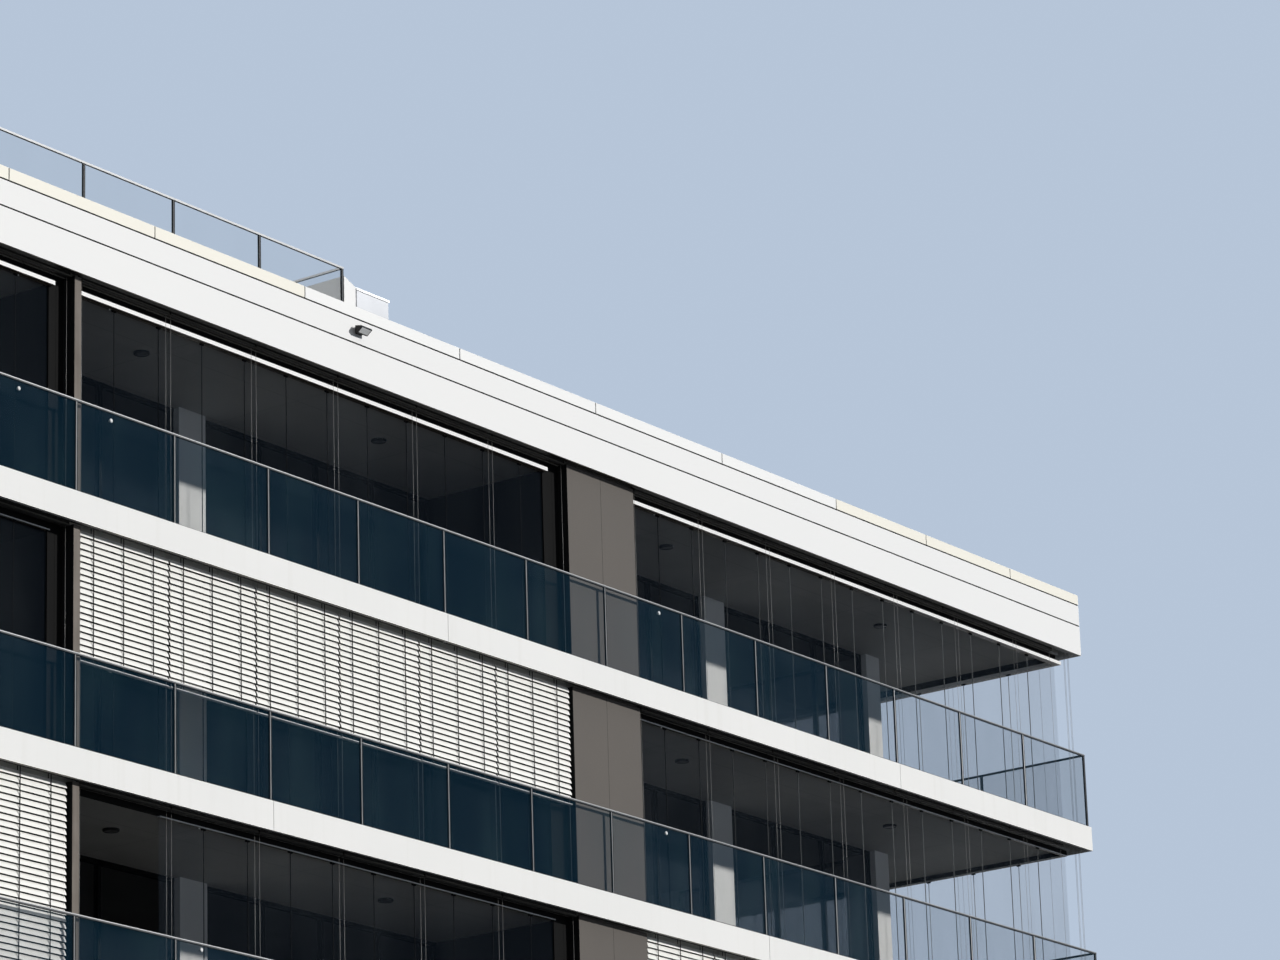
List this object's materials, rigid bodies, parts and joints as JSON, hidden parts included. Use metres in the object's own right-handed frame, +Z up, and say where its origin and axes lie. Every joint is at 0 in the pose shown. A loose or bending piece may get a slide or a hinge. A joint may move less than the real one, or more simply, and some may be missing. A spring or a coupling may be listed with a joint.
{
  "type": "apartment block",
  "caption": "Long flat-roofed block of flats: white slab bands, glass balustrades, sliding glass loggias round every side, grey piers, blinds and a roof terrace.",
  "frame": {"origin": "ground level in the middle of the footprint, on the underside of the base slab", "axes": "+X along the front towards the pictured corner, +Y into the building, so the front faces -Y, +Z up"},
  "size_m": [33.23, 12.75, 23.22],
  "materials": {
    "white_concrete": "smooth precast",
    "grey_concrete": "fair-faced concrete",
    "grey_panel": "honed grey panel",
    "party_concrete": "board-marked",
    "white_render": "fine render",
    "room_glass": "dark double glazing",
    "leaf_glass": "clear toughened glass",
    "balustrade_glass": "blue-green laminated glass",
    "dark_aluminium": "dark powder coat",
    "white_aluminium": "white powder coat",
    "bright_aluminium": "brushed anodised",
    "blind_rail": "tan coated rail",
    "blind_slat": "off-white coated slats",
    "lamp_dark": "dark lamp ring",
    "white_board": "smooth coated board",
    "cream_coping": "weathered cream board",
    "roof_gravel": "gravel and paving",
    "vent_metal": "plain sheet steel",
    "floodlight_black": "black housing"
  },
  "bodies": {
    "root": {"base_slab": "grey_concrete", "floor_slab_1": "grey_concrete", "floor_slab_2": "grey_concrete", "floor_slab_3": "grey_concrete", "floor_slab_4": "grey_concrete", "floor_slab_5": "grey_concrete", "floor_slab_6": "grey_concrete", "edge_band_1": "white_concrete", "edge_band_2": "white_concrete", "edge_band_3": "white_concrete", "edge_band_4": "white_concrete", "edge_band_5": "white_concrete", "edge_band_6": "white_concrete", "room_walls_0": "white_render", "room_walls_1": "white_render", "room_walls_2": "white_render", "room_walls_3": "white_render", "room_walls_4": "white_render", "room_walls_5": "white_render", "room_walls_6": "white_render", "loggia_leaves_0": "leaf_glass", "loggia_leaves_1": "leaf_glass", "loggia_leaves_2": "leaf_glass", "loggia_leaves_3": "leaf_glass", "loggia_leaves_4": "leaf_glass", "loggia_leaves_5": "leaf_glass", "loggia_leaves_6": "leaf_glass", "pier_panels": "grey_panel", "party_walls": "party_concrete", "room_windows": "room_glass", "glazing_tracks": "dark_aluminium", "head_rails": "white_aluminium", "closing_posts": "dark_aluminium", "balustrade_glass": "balustrade_glass", "balustrade_joints": "bright_aluminium", "handrails": "bright_aluminium", "raised_blinds": "blind_rail", "lowered_blinds": "blind_slat", "ceiling_lamps": "lamp_dark", "roof_slab": "grey_concrete", "roof_parapet": "grey_concrete", "fascia_boards": "white_board", "roof_coping": "cream_coping", "roof_deck": "roof_gravel", "terrace_glass": "balustrade_glass", "vent_cheek": "white_board", "vent_box": "vent_metal", "floodlight": "floodlight_black"}
  },
  "joints": []
}
